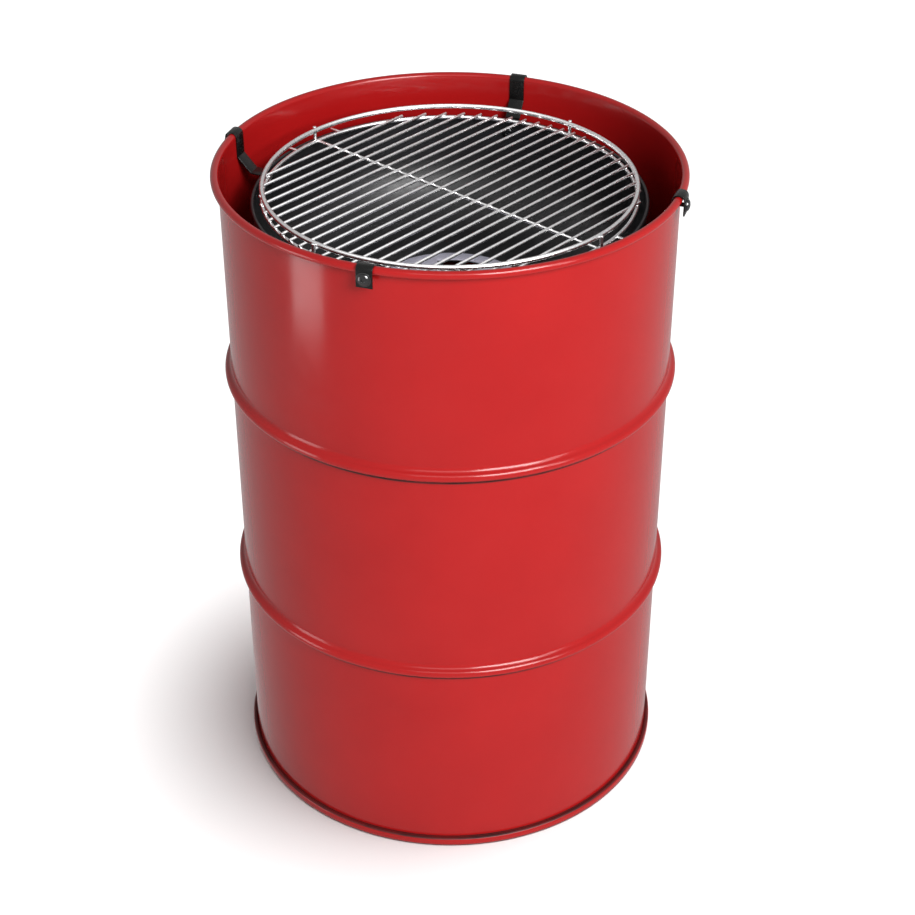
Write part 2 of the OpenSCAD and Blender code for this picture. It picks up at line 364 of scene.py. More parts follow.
class Nodes:
    """Short names for building one material's node tree."""

    def __init__(self, name):
        self.material = bpy.data.materials.new(name)
        self.material.use_nodes = True
        self.tree = self.material.node_tree
        self.shader = self.tree.nodes["Principled BSDF"]
        self.coords = self.tree.nodes.new("ShaderNodeTexCoord").outputs["Object"]

    def set(self, **values):
        """Constant values on the shader's own sockets."""
        for key, value in values.items():
            socket = self.shader.inputs[key.replace("_", " ")]
            socket.default_value = value
        return self

    def link(self, source, target):
        self.tree.links.new(source, target)

    def new(self, kind, **settings):
        node = self.tree.nodes.new(kind)
        for key, value in settings.items():
            setattr(node, key, value)
        return node

    def noise(self, scale, detail=3.0, roughness=0.5, stretch=None):
        """Noise over the object's own coordinates, scale in cells a metre."""
        node = self.new("ShaderNodeTexNoise")
        node.inputs["Scale"].default_value = scale
        node.inputs["Detail"].default_value = detail
        node.inputs["Roughness"].default_value = roughness
        source = self.coords
        if stretch:
            mapping = self.new("ShaderNodeMapping")
            mapping.inputs["Scale"].default_value = stretch
            self.link(source, mapping.inputs["Vector"])
            source = mapping.outputs["Vector"]
        self.link(source, node.inputs["Vector"])
        return node.outputs["Fac"]

    def spread(self, source, low, high, from_low=0.3, from_high=0.7):
        """Maps a noise value to a range."""
        node = self.new("ShaderNodeMapRange")
        node.inputs["From Min"].default_value = from_low
        node.inputs["From Max"].default_value = from_high
        node.inputs["To Min"].default_value = low
        node.inputs["To Max"].default_value = high
        self.link(source, node.inputs["Value"])
        return node.outputs["Result"]

    def mix(self, factor, first, second):
        """Mixes two colours, each a tuple or a socket."""
        node = self.new("ShaderNodeMix", data_type="RGBA")
        self.link(factor, node.inputs["Factor"])
        for key, value in (("A", first), ("B", second)):
            socket = next(s for s in node.inputs if s.name == key and s.type == "RGBA")
            if isinstance(value, tuple):
                socket.default_value = value
            else:
                self.link(value, socket)
        return next(s for s in node.outputs if s.type == "RGBA")

    def bump(self, source, strength, distance, normal=None):
        node = self.new("ShaderNodeBump")
        node.inputs["Strength"].default_value = strength
        node.inputs["Distance"].default_value = distance
        self.link(source, node.inputs["Height"])
        if normal:
            self.link(normal, node.inputs["Normal"])
        return node.outputs["Normal"]

    def band(self, height, half_width, soft):
        """1 at a height on the object, falling to 0 at half_width + soft away from it."""
        split = self.new("ShaderNodeSeparateXYZ")
        self.link(self.coords, split.inputs["Vector"])
        off = self.new("ShaderNodeMath", operation="SUBTRACT")
        self.link(split.outputs["Z"], off.inputs[0])
        off.inputs[1].default_value = height
        away = self.new("ShaderNodeMath", operation="ABSOLUTE")
        self.link(off.outputs["Value"], away.inputs[0])
        return self.spread(away.outputs["Value"], 1, 0, half_width, half_width + soft)

    def most(self, first, second):
        node = self.new("ShaderNodeMath", operation="MAXIMUM")
        self.link(first, node.inputs[0])
        self.link(second, node.inputs[1])
        return node.outputs["Value"]

    def times(self, first, second):
        node = self.new("ShaderNodeMath", operation="MULTIPLY")
        self.link(first, node.inputs[0])
        self.link(second, node.inputs[1])
        return node.outputs["Value"]

    def finish(self, colour, roughness, normal):
        self.link(colour, self.shader.inputs["Base Color"])
        self.link(roughness, self.shader.inputs["Roughness"])
        self.link(normal, self.shader.inputs["Normal"])
        return self.material


def rgb(r, g, b):
    return (r, g, b, 1.0)


def red_enamel():
    """Glossy red paint: faint mottling and a little orange peel, with painted shade as dark lines in the
    foot seam's groove and under each hoop.
    """
    n = Nodes("red_enamel")
    n.set(Metallic=0.0, IOR=1.42)
    mottle = n.spread(n.noise(7, 4, 0.55), 0, 1)
    colour = n.mix(mottle, rgb(0.390, 0.0085, 0.0088), rgb(0.355, 0.0070, 0.0075))
    specks = n.spread(n.noise(900, 2, 0.5), 0, 0.08, 0.62, 0.75)
    colour = n.mix(specks, colour, rgb(0.22, 0.005, 0.006))
    # Painted shade: dark bands in the foot seam's groove and on each hoop's lower flank, where shade
    # falls.
    shaded_creases = n.band(SEAM_H, 0.6 * MM, 1.2 * MM)
    for z in HOOP_HEIGHTS:
        shaded_creases = n.most(shaded_creases, n.band(z - SHADE_LINE_BELOW_HOOP, 1.4 * MM, 1.6 * MM))
    # The painted shade is broken up by noise. It darkens the colour and roughens the gloss there.
    painted_shade = n.times(shaded_creases, n.spread(n.noise(25, 4, 0.6), 0.72, 1.0))
    colour = n.mix(painted_shade, colour, rgb(0.020, 0.003, 0.003))
    clean = n.spread(n.noise(30, 3, 0.6), 0.13, 0.19)
    roughness = n.most(clean, n.spread(painted_shade, 0, 0.8, 0, 1))
    peel = n.bump(n.noise(420, 2, 0.5), 0.04, 0.0003)
    ripple = n.bump(n.noise(14, 2, 0.4), 0.03, 0.004, peel)
    return n.finish(colour, roughness, ripple)


def black_enamel():
    """Satin black stove enamel with a slight orange peel and fine grey specks."""
    n = Nodes("black_enamel")
    n.set(Metallic=0.0, IOR=1.5)
    specks = n.spread(n.noise(1400, 1, 0.5), 0, 0.35, 0.66, 0.74)
    colour = n.mix(specks, rgb(0.010, 0.010, 0.011), rgb(0.06, 0.06, 0.065))
    roughness = n.spread(n.noise(60, 3, 0.6), 0.34, 0.48)
    peel = n.bump(n.noise(300, 2, 0.5), 0.10, 0.0004)
    return n.finish(colour, roughness, peel)


def strap_paint():
    """Satin black powder coat with its fine pebbled surface."""
    n = Nodes("strap_paint")
    n.set(Metallic=0.0, IOR=1.40)
    cloud = n.spread(n.noise(60, 3, 0.6), 0, 1)
    colour = n.mix(cloud, rgb(0.003, 0.003, 0.003), rgb(0.006, 0.006, 0.0058))
    roughness = n.spread(n.noise(220, 2, 0.5), 0.20, 0.30)
    pebble = n.bump(n.noise(1600, 2, 0.55), 0.15, 0.0002)
    return n.finish(colour, roughness, pebble)


def bolt_finish():
    """Black oxide on small fasteners, dark and shiny with faint turning marks."""
    n = Nodes("bolt_finish")
    n.set(Metallic=0.0, IOR=1.75)
    cloud = n.spread(n.noise(300, 3, 0.6), 0, 1)
    colour = n.mix(cloud, rgb(0.004, 0.004, 0.0045), rgb(0.009, 0.009, 0.010))
    roughness = n.spread(n.noise(700, 2, 0.6), 0.10, 0.16)
    marks = n.bump(n.noise(900, 1, 0.5), 0.04, 0.0001)
    return n.finish(colour, roughness, marks)


def zinc_plate():
    """Bright zinc plating with a faint cloudy bloom."""
    n = Nodes("zinc_plate")
    n.set(Metallic=1.0, IOR=1.5)
    cloud = n.spread(n.noise(180, 4, 0.6), 0, 1)
    colour = n.mix(cloud, rgb(0.55, 0.56, 0.58), rgb(0.42, 0.43, 0.46))
    roughness = n.spread(n.noise(500, 3, 0.6), 0.26, 0.42)
    marks = n.bump(n.noise(1800, 2, 0.5), 0.12, 0.0001)
    return n.finish(colour, roughness, marks)


def chrome_wire():
    """Plated wire: bright and satin, with the faint waviness of drawn wire and duller patches."""
    n = Nodes("chrome_wire")
    n.set(Metallic=1.0, IOR=1.5)
    cloud = n.spread(n.noise(90, 4, 0.6), 0, 1)
    colour = n.mix(cloud, rgb(0.90, 0.89, 0.89), rgb(0.78, 0.78, 0.79))
    roughness = n.spread(n.noise(260, 3, 0.6), 0.24, 0.34)
    draw = n.bump(n.noise(120, 2, 0.5), 0.04, 0.0002)
    return n.finish(colour, roughness, draw)


def vent_steel():
    """Pale lavender-grey disc with circular brushing, oxidised to a dull sheen."""
    n = Nodes("vent_steel")
    n.set(Metallic=0.25, IOR=1.5, Anisotropic=0.3)
    split = n.new("ShaderNodeSeparateXYZ")
    n.link(n.coords, split.inputs["Vector"])
    flat = n.new("ShaderNodeCombineXYZ")
    n.link(split.outputs["X"], flat.inputs["X"])
    n.link(split.outputs["Y"], flat.inputs["Y"])
    radius = n.new("ShaderNodeVectorMath", operation="LENGTH")
    n.link(flat.outputs["Vector"], radius.inputs[0])
    rings = n.new("ShaderNodeTexNoise", noise_dimensions="1D")
    rings.inputs["Scale"].default_value = 2600
    rings.inputs["Detail"].default_value = 3
    n.link(radius.outputs["Value"], rings.inputs["W"])
    tint = n.spread(n.noise(16, 3, 0.6), 0, 1)
    colour = n.mix(tint, rgb(0.74, 0.73, 0.86), rgb(0.60, 0.59, 0.71))
    roughness = n.spread(rings.outputs["Fac"], 0.26, 0.44)
    brush = n.bump(rings.outputs["Fac"], 0.10, 0.0001)
    return n.finish(colour, roughness, brush)


def floor_paint():
    """Matt pale floor with the faintest cloudiness."""
    n = Nodes("floor_paint")
    n.set(Metallic=0.0, IOR=1.45, Specular_IOR_Level=0.0)
    cloud = n.spread(n.noise(1.5, 3, 0.6), 0, 1)
    colour = n.mix(cloud, rgb(0.90, 0.90, 0.90), rgb(0.88, 0.88, 0.88))
    roughness = n.spread(n.noise(3, 2, 0.5), 0.85, 0.95)
    grain = n.bump(n.noise(200, 2, 0.5), 0.02, 0.0005)
    return n.finish(colour, roughness, grain)


RED = red_enamel()
BOWL_BLACK = black_enamel()
STRAP_BLACK = strap_paint()
BOLT_BLACK = bolt_finish()
ZINC = zinc_plate()
CHROME = chrome_wire()
VENT = vent_steel()


# ---------------------------------------------------------------- barrel

inner_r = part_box("barrel_bottom")[1].x
wall_r = inner_r + SHEET_T
barrel_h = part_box("barrel_shell")[1].z


def hoop_line(z, skin, outwards):
    """The side of a hoop, upwards, on the sheet's outer face or a skin's thickness inside it."""
    arcs = (HOOP_HALF_W ** 2 + HOOP_H ** 2) / (2 * HOOP_H)
    foot_r = arcs - HOOP_CREST_R
    slope = math.degrees(math.asin(HOOP_HALF_W / arcs))
    foot_x = wall_r + foot_r
    crest_x = wall_r + HOOP_H - HOOP_CREST_R
    line = joined(
        arc(foot_x, z - HOOP_HALF_W, foot_r + skin, 180, 180 - slope, 10),
        arc(crest_x, z, HOOP_CREST_R - skin, -slope, slope, 20),
        arc(foot_x, z + HOOP_HALF_W, foot_r + skin, 180 + slope, 180, 10))
    return line if outwards else line[::-1]


def wall_stretch(r, z_from, z_to, step=14 * MM):
    """Plain wall at radius r, in steps short enough to carry its slight waviness."""
    steps = max(2, round(abs(z_to - z_from) / step))
    return [(r, z_from)] + between((r, z_from), (r, z_to), steps) + [(r, z_to)]


def barrel_outline():
    """The whole sheet in section: foot seam, wall, hoops and rolled rim, out and back."""
    low, high = HOOP_HEIGHTS
    seam_x = wall_r + SEAM_OUT - SEAM_R
    groove_z = SEAM_H - SEAM_R + math.sqrt(SEAM_R ** 2 - (seam_x - wall_r) ** 2)
    rim_x = inner_r + RIM_R
    rim_z = barrel_h - RIM_R
    curl_end = 250
    outside = joined(
        [(inner_r, 0.4 * MM), (inner_r + 0.4 * MM, 0), (seam_x - 1 * MM, 0)],
        arc(seam_x, SEAM_R, SEAM_R, -90, 0, 8),
        arc(seam_x, SEAM_H - SEAM_R, SEAM_R, 0, 146, 14),
        [(wall_r + 0.15 * MM, groove_z + 0.05 * MM), (wall_r, groove_z + 0.4 * MM)],
        wall_stretch(wall_r, SEAM_H, low - HOOP_HALF_W),
        hoop_line(low, 0, True),
        wall_stretch(wall_r, low + HOOP_HALF_W, high - HOOP_HALF_W),
        hoop_line(high, 0, True),
        wall_stretch(wall_r, high + HOOP_HALF_W, rim_z))
    curl_in = arc(rim_x, rim_z, RIM_R - SHEET_T, 180, curl_end - 360, 24)
    curl_tip = arc(rim_x + (RIM_R - SHEET_T / 2) * math.cos(math.radians(curl_end)),
                   rim_z + (RIM_R - SHEET_T / 2) * math.sin(math.radians(curl_end)),
                   SHEET_T / 2, curl_end + 180, curl_end, 6)
    curl_out = arc(rim_x, rim_z, RIM_R, curl_end - 360, 180, 32)
    inside = joined(
        wall_stretch(inner_r, rim_z, high + HOOP_HALF_W),
        hoop_line(high, SHEET_T, False),
        wall_stretch(inner_r, high - HOOP_HALF_W, low + HOOP_HALF_W),
        hoop_line(low, SHEET_T, False),
        wall_stretch(inner_r, low - HOOP_HALF_W, SEAM_H))
    return joined(outside, curl_in, curl_tip, curl_out, inside)


def barrel_unevenness(point, angle):
    """Slight waviness of rolled sheet, and the long weld seam at the back."""
    r, z = point
    plain = min(1.0, max(0.0, (z - 30 * MM) / (60 * MM)), max(0.0, (barrel_h - 12 * MM - z) / (40 * MM)))
    where = Vector((3 * math.cos(angle), 3 * math.sin(angle), z * 9))
    waves = -0.10 * MM * (0.5 + 0.5 * noise.noise(where)) * plain
    across = (angle - math.radians(BACK_SEAM)) * wall_r / (2.6 * MM)
    bead_up = 0.45 * MM * math.exp(-across * across) * (1 if r > wall_r - 0.2 * MM else 0)
    ends = 1 if SEAM_H < z < barrel_h - 2.2 * RIM_R else 0
    return waves + bead_up * ends


def barrel_angles():
    """Even steps round the barrel, with fine ones across the weld seam."""
    coarse = even_angles(288)
    seam = math.radians(BACK_SEAM)
    fine = [seam + math.radians(0.15 * i) for i in range(-9, 10)]
    kept = [a for a in coarse if abs(a - seam) > math.radians(1.6)]
    return sorted(kept + fine)


def build_barrel():
    shell = Shape().add(*turned(barrel_outline(), barrel_angles(), shift=barrel_unevenness))
    piece("barrel_wall", shell, "barrel", RED, ["barrel_shell"])

    low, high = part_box("barrel_bottom")
    corner_x = inner_r - BOTTOM_CORNER_R
    corner_z = high.z - BOTTOM_CORNER_R
    ring_in, ring_out = PRESSED_RING
    step = PRESSED_STEP
    under = high.z - SHEET_T

    def pressed(z):
        """A flat head with a shallow pressed ring, seen from above or below."""
        return [(0, z), (ring_in - 6 * MM, z), (ring_in, z - step * 0.5), (ring_in + 6 * MM, z - step),
                (ring_out - 6 * MM, z - step), (ring_out, z - step * 0.5), (ring_out + 6 * MM, z)]

    head = joined(
        pressed(high.z),
        arc(corner_x, corner_z, BOTTOM_CORNER_R, 90, 0, 8),
        [(inner_r, low.z), (inner_r - SHEET_T, low.z)],
        arc(corner_x, corner_z, BOTTOM_CORNER_R - SHEET_T, 0, 90, 8),
        pressed(under)[::-1])
    bottom = Shape().add(*turned(head, even_angles(192), closed=False))
    piece("barrel_head", bottom, "barrel", RED, ["barrel_bottom"])


# ---------------------------------------------------------------- fire bowl and vent

bowl_low, bowl_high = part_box("fire_bowl")
bowl_in_r = BOWL_WALL_R - BOWL_T
bowl_floor_z = bowl_low.z + BOWL_T
bowl_floor_r = bowl_in_r - BOWL_CORNER_R
bowl_corner_z = bowl_floor_z + BOWL_CORNER_R


def slotted_angles(azimuth):
    """Angles round a disc that fall on the slots' edges, and the cells that the slots take."""
    in_slot = 28
    in_land = 32
    angles = []
    cut = set()
    for k in range(4):
        start = azimuth - SLOT_SPAN / 2 + 90 * k
        for i in range(in_slot):
            cut.add(len(angles))
            angles.append(math.radians(start + SLOT_SPAN * i / in_slot))
        for i in range(in_land):
            angles.append(math.radians(start + SLOT_SPAN + (90 - SLOT_SPAN) * i / in_land))
    return angles, cut


def floor_line(z, radii):
    return [(r, z) for r in radii]


def slot_rows(line):
    """The rows of a floor line that lie between the slots' inner and outer radius."""
    middles = [(a[0] + b[0]) / 2 for a, b in zip(line, line[1:])]
    flat = [abs(a[1] - b[1]) < 1e-6 for a, b in zip(line, line[1:])]
    return {i for i, r in enumerate(middles) if SLOT_IN_R < r < SLOT_OUT_R and flat[i]}


def build_bowl():
    radii = [RIVET_HOLE_R, 8 * MM, 20 * MM, SLOT_IN_R, 46 * MM, 58 * MM, 70 * MM, SLOT_OUT_R,
             95 * MM, 115 * MM, 135 * MM]
    rim_x = BOWL_WALL_R + 0.3 * MM
    rim_z = bowl_high.z - BOWL_RIM_R
    turn_in = 180 + math.degrees(math.acos((rim_x - bowl_in_r) / BOWL_RIM_R))
    turn_out = -90 - math.degrees(math.asin((rim_x - BOWL_WALL_R) / BOWL_RIM_R))
    inner = joined(
        floor_line(bowl_floor_z, radii),
        arc(bowl_floor_r, bowl_corner_z, BOWL_CORNER_R, -90, 0, 36),
        between((bowl_in_r, bowl_corner_z), (bowl_in_r, rim_z - BOWL_RIM_R), 6),
        arc(rim_x, rim_z, BOWL_RIM_R, turn_in, 92, 16))
    outer = joined(
        floor_line(bowl_low.z, radii),
        arc(bowl_floor_r, bowl_corner_z, BOWL_CORNER_R + BOWL_T, -90, 0, 36),
        between((BOWL_WALL_R, bowl_corner_z), (BOWL_WALL_R, rim_z - BOWL_RIM_R), 6),
        arc(rim_x, rim_z, BOWL_RIM_R, turn_out, 88, 16))
    angles, cut = slotted_angles(SLOT_AZIMUTH)
    rows = slot_rows(inner)
    shape = Shape().add(*pierced(inner, outer, angles, lambda i, j: i in rows and j in cut))
    piece("fire_bowl_dish", shape, "barrel", BOWL_BLACK, ["fire_bowl"], bevel=0.3 * MM)


def build_vent():
    low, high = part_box("vent_damper")
    radius = high.x
    top = low.z + VENT_T
    radii = [RIVET_HOLE_R, 8 * MM, 20 * MM, SLOT_IN_R, 50 * MM, 66 * MM, SLOT_OUT_R, 92 * MM, radius]
    angles, cut = slotted_angles(SLOT_AZIMUTH + VENT_TURN)
    line = floor_line(top, radii)
    rows = slot_rows(line)
    disc = Shape().add(*pierced(line, floor_line(low.z, radii), angles,
                                lambda i, j: i in rows and j in cut))
    tab_r = radius - 2 * VENT_T
    tab_half = 9 * MM
    foot = 5 * MM
    rise = high.z - top
    tab_line = [(tab_r - foot, 0), (tab_r + VENT_T / 2, 0), (tab_r + VENT_T / 2, rise)]
    sheet = Shape().add(*strap(tab_line, [0, 2 * MM, 0], VENT_T, 2 * tab_half),
                        about_z(SLOT_AZIMUTH + VENT_TURN + 180) @ Matrix.Translation((0, 0, top)))
    disc.add(sheet.verts, sheet.faces)
    piece("vent_disc", disc, "damper", VENT, ["vent_damper"], bevel=0.25 * MM)


def build_rivet():
    low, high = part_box("vent_rivet")
    head_h = 2.6 * MM
    head_r = high.x
    shank = high.z - low.z - 2 * head_h
    rivet = Shape()
    rivet.add(*domed_head(head_r, head_h), Matrix.Translation((0, 0, high.z - head_h)))
    rivet.add(*domed_head(head_r, head_h), aimed((0, 0, low.z + head_h), (0, 0, -1)))
    rivet.add(*rod(SCREW_R, shank, 0.1 * MM), Matrix.Translation((0, 0, low.z + head_h)))
    piece("vent_rivet_domed", rivet, "barrel", ZINC, ["vent_rivet"])


# ---------------------------------------------------------------- hangers

def strap(corners, bends, thickness, width):
    """A flat strap along a bent line in the (x, z) plane, width along Y."""
    line = []
    last = len(corners) - 1
    for i, corner in enumerate(corners):
        here = Vector(corner)
        if i in (0, last):
            line.append(here)
            continue
        back = (Vector(corners[i - 1]) - here).normalized()
        on = (Vector(corners[i + 1]) - here).normalized()
        half = back.angle(on) / 2
        cut = bends[i] / math.tan(half)
        centre = here + (back + on).normalized() * bends[i] / math.sin(half)
        start = here + back * cut - centre
        sweep = (here + on * cut - centre).angle_signed(start)
        steps = max(4, round(math.degrees(abs(sweep)) / 6))
        for k in range(steps + 1):
            a = sweep * k / steps
            line.append(centre + Vector((start.x * math.cos(a) - start.y * math.sin(a),
                                         start.x * math.sin(a) + start.y * math.cos(a))))
    verts = []
    for i, p in enumerate(line):
        before = line[max(i - 1, 0)]
        after = line[min(i + 1, len(line) - 1)]
        along = (after - before).normalized()
        side = Vector((-along.y, along.x)) * thickness / 2
        for q in (p + side, p - side):
            verts += [(q.x, -width / 2, q.y), (q.x, width / 2, q.y)]
    faces = []
    ring = (0, 1, 3, 2)
    for i in range(len(line) - 1):
        a = 4 * i
        b = a + 4
        for k in range(4):
            p, q = ring[k], ring[(k + 1) % 4]
            faces.append((a + p, a + q, b + q, b + p))
    end = 4 * (len(line) - 1)
    faces += [tuple(ring), tuple(end + k for k in reversed(ring))]
    return verts, faces


def build_hangers():
    low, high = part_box("hanger_right")
    half = STRAP_T / 2
    leg_out = high.x - half
    leg_in = inner_r - LEG_GAP - half
    leg_bowl = low.x + half
    hook_z = high.z - half
    corners = [
        (leg_out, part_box("clamp_washers")[0].z - 2 * MM),
        (leg_out, hook_z),
        (leg_in, hook_z),
        (leg_in, STRAP_KNEE_Z),
        (STRAP_ELBOW_R, STRAP_ELBOW_Z),
        (leg_bowl, STRAP_SHOULDER_Z),
        (leg_bowl, low.z)]
    bends = [0, HOOK_BEND_R, HOOK_BEND_R, STRAP_BEND_R, STRAP_BEND_R, STRAP_BEND_R, 0]
    width = high.y - low.y
    for name, azimuth in (("right", 0), ("back", 90), ("left", 180), ("front", 270)):
        shape = Shape().add(*strap(corners, bends, STRAP_T, width), about_z(azimuth))
        piece(f"strap_{name}", shape, "barrel", STRAP_BLACK, [f"hanger_{name}"],
              bevel=0.35 * MM)


def build_fasteners():
    washer_low, washer_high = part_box("clamp_washers")
    washer_r = (washer_high.z - washer_low.z) / 2
    face_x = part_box("hanger_right")[1].x
    head_x = washer_high.x
    tip_x = wall_r + 0.1 * MM

    screws = Shape()
    rings = Shape()
    for azimuth in QUARTERS:
        turn = about_z(azimuth)
        outwards = turn @ aimed((face_x, 0, CLAMP_Z), (1, 0, 0))
        rings.add(*washer(WASHER_HOLE_R, washer_r, head_x - face_x), outwards)
        screws.add(*domed_head(HEAD_R, HEAD_H, SOCKET_HALF), turn @ aimed((head_x, 0, CLAMP_Z), (1, 0, 0)))
        screws.add(*threaded_rod(head_x - tip_x), turn @ aimed((head_x, 0, CLAMP_Z), (-1, 0, 0)))
    piece("clamp_screws_domed", screws, "barrel", BOLT_BLACK, ["clamp_screws"])
    piece("clamp_washers_flat", rings, "barrel", BOLT_BLACK, ["clamp_washers"])

    bolts = Shape()
    bolt_rings = Shape()
    nuts = Shape()
    bolt_tip_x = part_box("bowl_bolts")[1].x
    leg_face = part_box("hanger_right")[0].x + STRAP_T
    nut_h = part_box("bowl_nuts")[1].x - leg_face
    washer_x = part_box("bowl_washers")[1].x
    washer_t = head_x - face_x
    for azimuth in QUARTERS:
        turn = about_z(azimuth)
        inner_face = washer_x - washer_t
        bolt_rings.add(*washer(WASHER_HOLE_R, washer_r, washer_t),
                       turn @ aimed((washer_x, 0, BOLT_Z), (-1, 0, 0)))
        bolts.add(*domed_head(HEAD_R, HEAD_H, SOCKET_HALF),
                  turn @ aimed((inner_face, 0, BOLT_Z), (-1, 0, 0)))
        bolts.add(*threaded_rod(bolt_tip_x - inner_face), turn @ aimed((inner_face, 0, BOLT_Z), (1, 0, 0)))
        nuts.add(*hex_nut(NUT_CORNER_R, SCREW_R + 0.05 * MM, nut_h),
                 turn @ aimed((leg_face, 0, BOLT_Z), (1, 0, 0)))
    piece("bowl_bolts_domed", bolts, "barrel", BOLT_BLACK, ["bowl_bolts"])
    piece("bowl_washers_flat", bolt_rings, "barrel", BOLT_BLACK, ["bowl_washers"])
    piece("bowl_nuts_chamfered", nuts, "barrel", ZINC, ["bowl_nuts"], sharp=25)


# ---------------------------------------------------------------- cooking grate

def chord_half(radius, offset):
    return math.sqrt(radius * radius - offset * offset)


def wire_ring(node, joint_azimuth):
    """A wire bent into a ring, with the slight swelling where its ends are butt welded."""
    low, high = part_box(node)
    wire_r = (high.z - low.z) / 2
    ring_r = high.x - wire_r
    mid_z = (high.z + low.z) / 2
    joint = math.radians(joint_azimuth)
    angles = sorted(even_angles(288) + [joint + math.radians(0.18 * i + 0.05) for i in range(-6, 7)])
    verts = []
    sides = 24
    for angle in angles:
        off = (angle - joint) * ring_r / (1.6 * MM)
        swell = wire_r * (1 + 0.07 * math.exp(-off * off))
        for k in range(sides):
            a = 2 * math.pi * k / sides
            r = ring_r + swell * math.cos(a)
            verts.append((r * math.cos(angle), r * math.sin(angle), mid_z + swell * math.sin(a)))
    faces = []
    for j in range(len(angles)):
        here = j * sides
        there = ((j + 1) % len(angles)) * sides
        for k in range(sides):
            n = (k + 1) % sides
            faces.append((here + k, there + k, there + n, here + n))
    return Shape().add(verts, faces), ring_r, wire_r, mid_z


def build_grate():
    upper, _, _, upper_z = wire_ring("grate_upper_ring", TOP_RING_JOINT)
    piece("grate_ring_top", upper, "cooking_grate", CHROME, ["grate_upper_ring"])
    lower, lower_r, lower_wire, lower_z = wire_ring("grate_lower_ring", LOW_RING_JOINT)
    piece("grate_ring_low", lower, "cooking_grate", CHROME, ["grate_lower_ring"])

    soft = 0.7 * MM
    bar_low, bar_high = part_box("grate_bars")
    bar_r = (bar_high.z - bar_low.z) / 2
    bar_z = (bar_high.z + bar_low.z) / 2
    bar_end_r = lower_r + lower_wire + 0.8 * MM
    along = about_z(BAR_AZIMUTH)
    across = about_z(CROSS_AZIMUTH)
    bars = Shape()
    welds = Shape()
    for i in range(BAR_COUNT):
        y = (i - (BAR_COUNT - 1) / 2) * BAR_PITCH
        half = chord_half(bar_end_r, y)
        bars.add(*rod(bar_r, 2 * half, soft), along @ aimed((-half, y, bar_z), (1, 0, 0)))
        touch_z = bar_z - bar_r + WIRE_WELD / 2
        for x in (-chord_half(lower_r, y), chord_half(lower_r, y), 0):
            blob = bead(bar_r * 1.15, bar_r * 1.15, 0.55 * bar_r)
            welds.add(*blob, along @ Matrix.Translation((x, y, touch_z)))
    piece("grate_bar_set", bars, "cooking_grate", CHROME, ["grate_bars"])

    cross_low, cross_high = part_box("grate_cross_bar")
    cross_z = (cross_high.z + cross_low.z) / 2
    cross_half = lower_r - lower_wire + WIRE_WELD
    cross = Shape().add(*rod(bar_r, 2 * cross_half, 0.3 * MM),
                        across @ aimed((-cross_half, 0, cross_z), (1, 0, 0)))
    piece("grate_cross_wire", cross, "cooking_grate", CHROME, ["grate_cross_bar"])
    for end in (-1, 1):
        blob = bead(1.3 * MM, bar_r * 1.25, bar_r * 1.1)
        welds.add(*blob, across @ Matrix.Translation((end * (cross_half - 0.4 * MM), 0, cross_z)))

    post_low, post_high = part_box("grate_posts")
    post_x = lower_r + lower_wire + POST_R - WIRE_WELD
    posts = Shape()
    for quarter in QUARTERS:
        turn = about_z(BAR_AZIMUTH + quarter)
        posts.add(*rod(POST_R, post_high.z - post_low.z, soft),
                  turn @ Matrix.Translation((post_x, 0, post_low.z)))
        for ring_z in (lower_z, upper_z):
            blob = bead(0.9 * MM, 2.2 * MM, 2.0 * MM)
            welds.add(*blob, turn @ Matrix.Translation((post_x - POST_R + WIRE_WELD / 2, 0, ring_z)))
    piece("grate_post_set", posts, "cooking_grate", CHROME, ["grate_posts"])

    lugs = Shape()
    lug_in = chord_half(lower_r + lower_wire - 1.5 * MM, LUG_OFFSET)
    lug_out = chord_half(LUG_TIP_R, LUG_OFFSET)
    for end in (0, 180):
        turn = about_z(CROSS_AZIMUTH + end)
        for side in (-1, 1):
            lugs.add(*rod(bar_r, lug_out - lug_in, 0.5 * MM),
                     turn @ aimed((lug_in, side * LUG_OFFSET, lower_z), (1, 0, 0)))
            blob = bead(1.4 * MM, bar_r * 1.2, bar_r * 1.15)
            welds.add(*blob, turn @ Matrix.Translation((lug_in + 1.3 * MM, side * LUG_OFFSET, lower_z)))
    piece("grate_lug_set", lugs, "cooking_grate", CHROME, ["grate_rest_lugs"])
    piece("grate_weld_beads", welds, "cooking_grate", CHROME)


# ---------------------------------------------------------------- studio

CAMERA_AT = (0.6904, -2.0336, 1.8585)
CAMERA_PITCH = 56.5775
CAMERA_AZIMUTH = 18.5
CAMERA_LENS = 74.165
FLOOR_REACH = 12.0
ROOM_LIGHT = 0.15
ROOM_EXTRA = (("Is Glossy Ray", 0.36), ("Is Camera Ray", 0.85))


def build_camera():
    data = bpy.data.cameras.new("studio_camera")
    data.lens = CAMERA_LENS
    data.sensor_width = 36
    cam = bpy.data.objects.new("studio_camera", data)
    cam.location = CAMERA_AT
    cam.rotation_euler = (math.radians(CAMERA_PITCH), 0, math.radians(CAMERA_AZIMUTH))
    bpy.context.scene.collection.objects.link(cam)
    bpy.context.scene.camera = cam


def light_from(data, bearing, elevation, distance, aim_z):
    """Places a light on a bearing in degrees to the right of the camera's side of the barrel."""
    light = bpy.data.objects.new(data.name, data)
    across = math.radians(CAMERA_AZIMUTH + bearing)
    up = math.radians(elevation)
    away = Vector((math.sin(across) * math.cos(up), -math.cos(across) * math.cos(up), math.sin(up)))
    light.location = Vector((0, 0, aim_z)) + away * distance
    light.rotation_mode = "QUATERNION"
    light.rotation_quaternion = (-away).to_track_quat("-Z", "Y")
    light.visible_camera = False
    bpy.context.scene.collection.objects.link(light)
    return light


def softbox(name, bearing, elevation, distance, size, radiance, aim_z=0.45):
    """An area light of one brightness over its face."""
    data = bpy.data.lights.new(name, "AREA")
    data.shape = "RECTANGLE"
    data.size, data.size_y = size
    data.energy = radiance * math.pi * size[0] * size[1]
    return light_from(data, bearing, elevation, distance, aim_z)


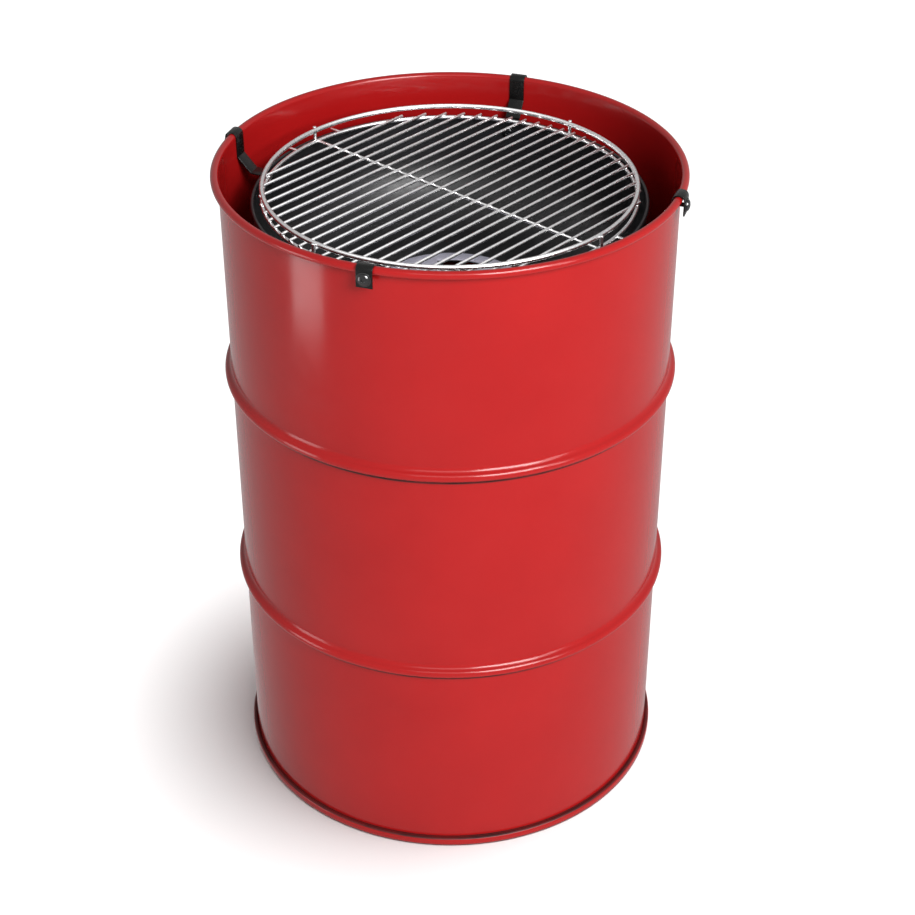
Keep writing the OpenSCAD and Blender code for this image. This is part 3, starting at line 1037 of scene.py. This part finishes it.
def build_studio():
    mesh = bpy.data.meshes.new("studio_floor")
    corners = [(x * FLOOR_REACH, y * FLOOR_REACH, 0) for x, y in ((-1, -1), (1, -1), (1, 1), (-1, 1))]
    mesh.from_pydata(corners, [], [(0, 1, 2, 3)])
    floor = bpy.data.objects.new("studio_floor", mesh)
    mesh.materials.append(floor_paint())
    bpy.context.scene.collection.objects.link(floor)
    floor.visible_glossy = False

    world = bpy.data.worlds.new("studio_world")
    world.use_nodes = True
    background = world.node_tree.nodes["Background"]
    background.inputs["Color"].default_value = rgb(1, 1, 1)
    # The room looks white and reflects as pale grey, but gives less light of its own than either.
    path = world.node_tree.nodes.new("ShaderNodeLightPath")
    strength = None
    for ray, extra in ROOM_EXTRA:
        more = world.node_tree.nodes.new("ShaderNodeMath")
        more.operation = "MULTIPLY_ADD"
        more.inputs[1].default_value = extra
        world.node_tree.links.new(path.outputs[ray], more.inputs[0])
        more.inputs[2].default_value = ROOM_LIGHT
        if strength:
            world.node_tree.links.new(strength, more.inputs[2])
        strength = more.outputs["Value"]
    world.node_tree.links.new(strength, background.inputs["Strength"])
    bpy.context.scene.world = world
    bpy.context.scene.view_settings.view_transform = "Standard"
    bpy.context.scene.view_settings.look = "None"

    # The floor has a light of its own, from nearly overhead, so that the shadow on it stays short.
    # Light linking keeps each light to the objects that it was set for.
    floor_only = bpy.data.collections.new("floor_only")
    floor_only.objects.link(floor)
    overhead = bpy.data.lights.new("overhead_light", "SUN")
    overhead.energy = 3.9
    overhead.angle = math.radians(22)
    light_from(overhead, 80, 83, 3, 0.4).light_linking.receiver_collection = floor_only

    all_but_floor = bpy.data.collections.new("all_but_floor")
    all_but_floor.objects.link(floor)
    all_but_floor.collection_objects[0].light_linking.link_state = "EXCLUDE"
    key = softbox("key_light", 30, 38, 4.0, (1.8, 1.8), 18.5)
    fill = softbox("fill_light", -5, 45, 4.0, (1.5, 1.5), 2)
    for light in (key, fill):
        light.light_linking.receiver_collection = all_but_floor

    # These show only as reflections: beside the barrel, along its hoops, on the clamp screws' heads,
    # and over the bare metal of the grate and the vent disc.
    left_strip = softbox("left_strip", -67, 0, 1.35, (0.40, 0.75), 3.5, aim_z=0.52)
    right_strip = softbox("right_strip", 50, 36, 2.6, (0.4, 2.4), 5)
    glint = softbox("screw_glint", 32, 42, 3.0, (1.6, 1.6), 55)
    screws_only = bpy.data.collections.new("screws_only")
    screws_only.objects.link(bpy.data.objects["clamp_screws_domed"])
    glint.light_linking.receiver_collection = screws_only
    sky = softbox("bare_metal_sky", 10, 75, 3.0, (4.5, 4.5), 1.15)
    bare_metal = bpy.data.collections.new("bare_metal")
    for obj in bpy.context.scene.objects:
        if obj.name.startswith(("grate_", "vent_")):
            bare_metal.objects.link(obj)
    sky.light_linking.receiver_collection = bare_metal
    for light in (left_strip, right_strip, glint, sky):
        light.visible_diffuse = False


build_camera()
build_barrel()
build_bowl()
build_vent()
build_rivet()
build_hangers()
build_fasteners()
build_grate()
build_studio()
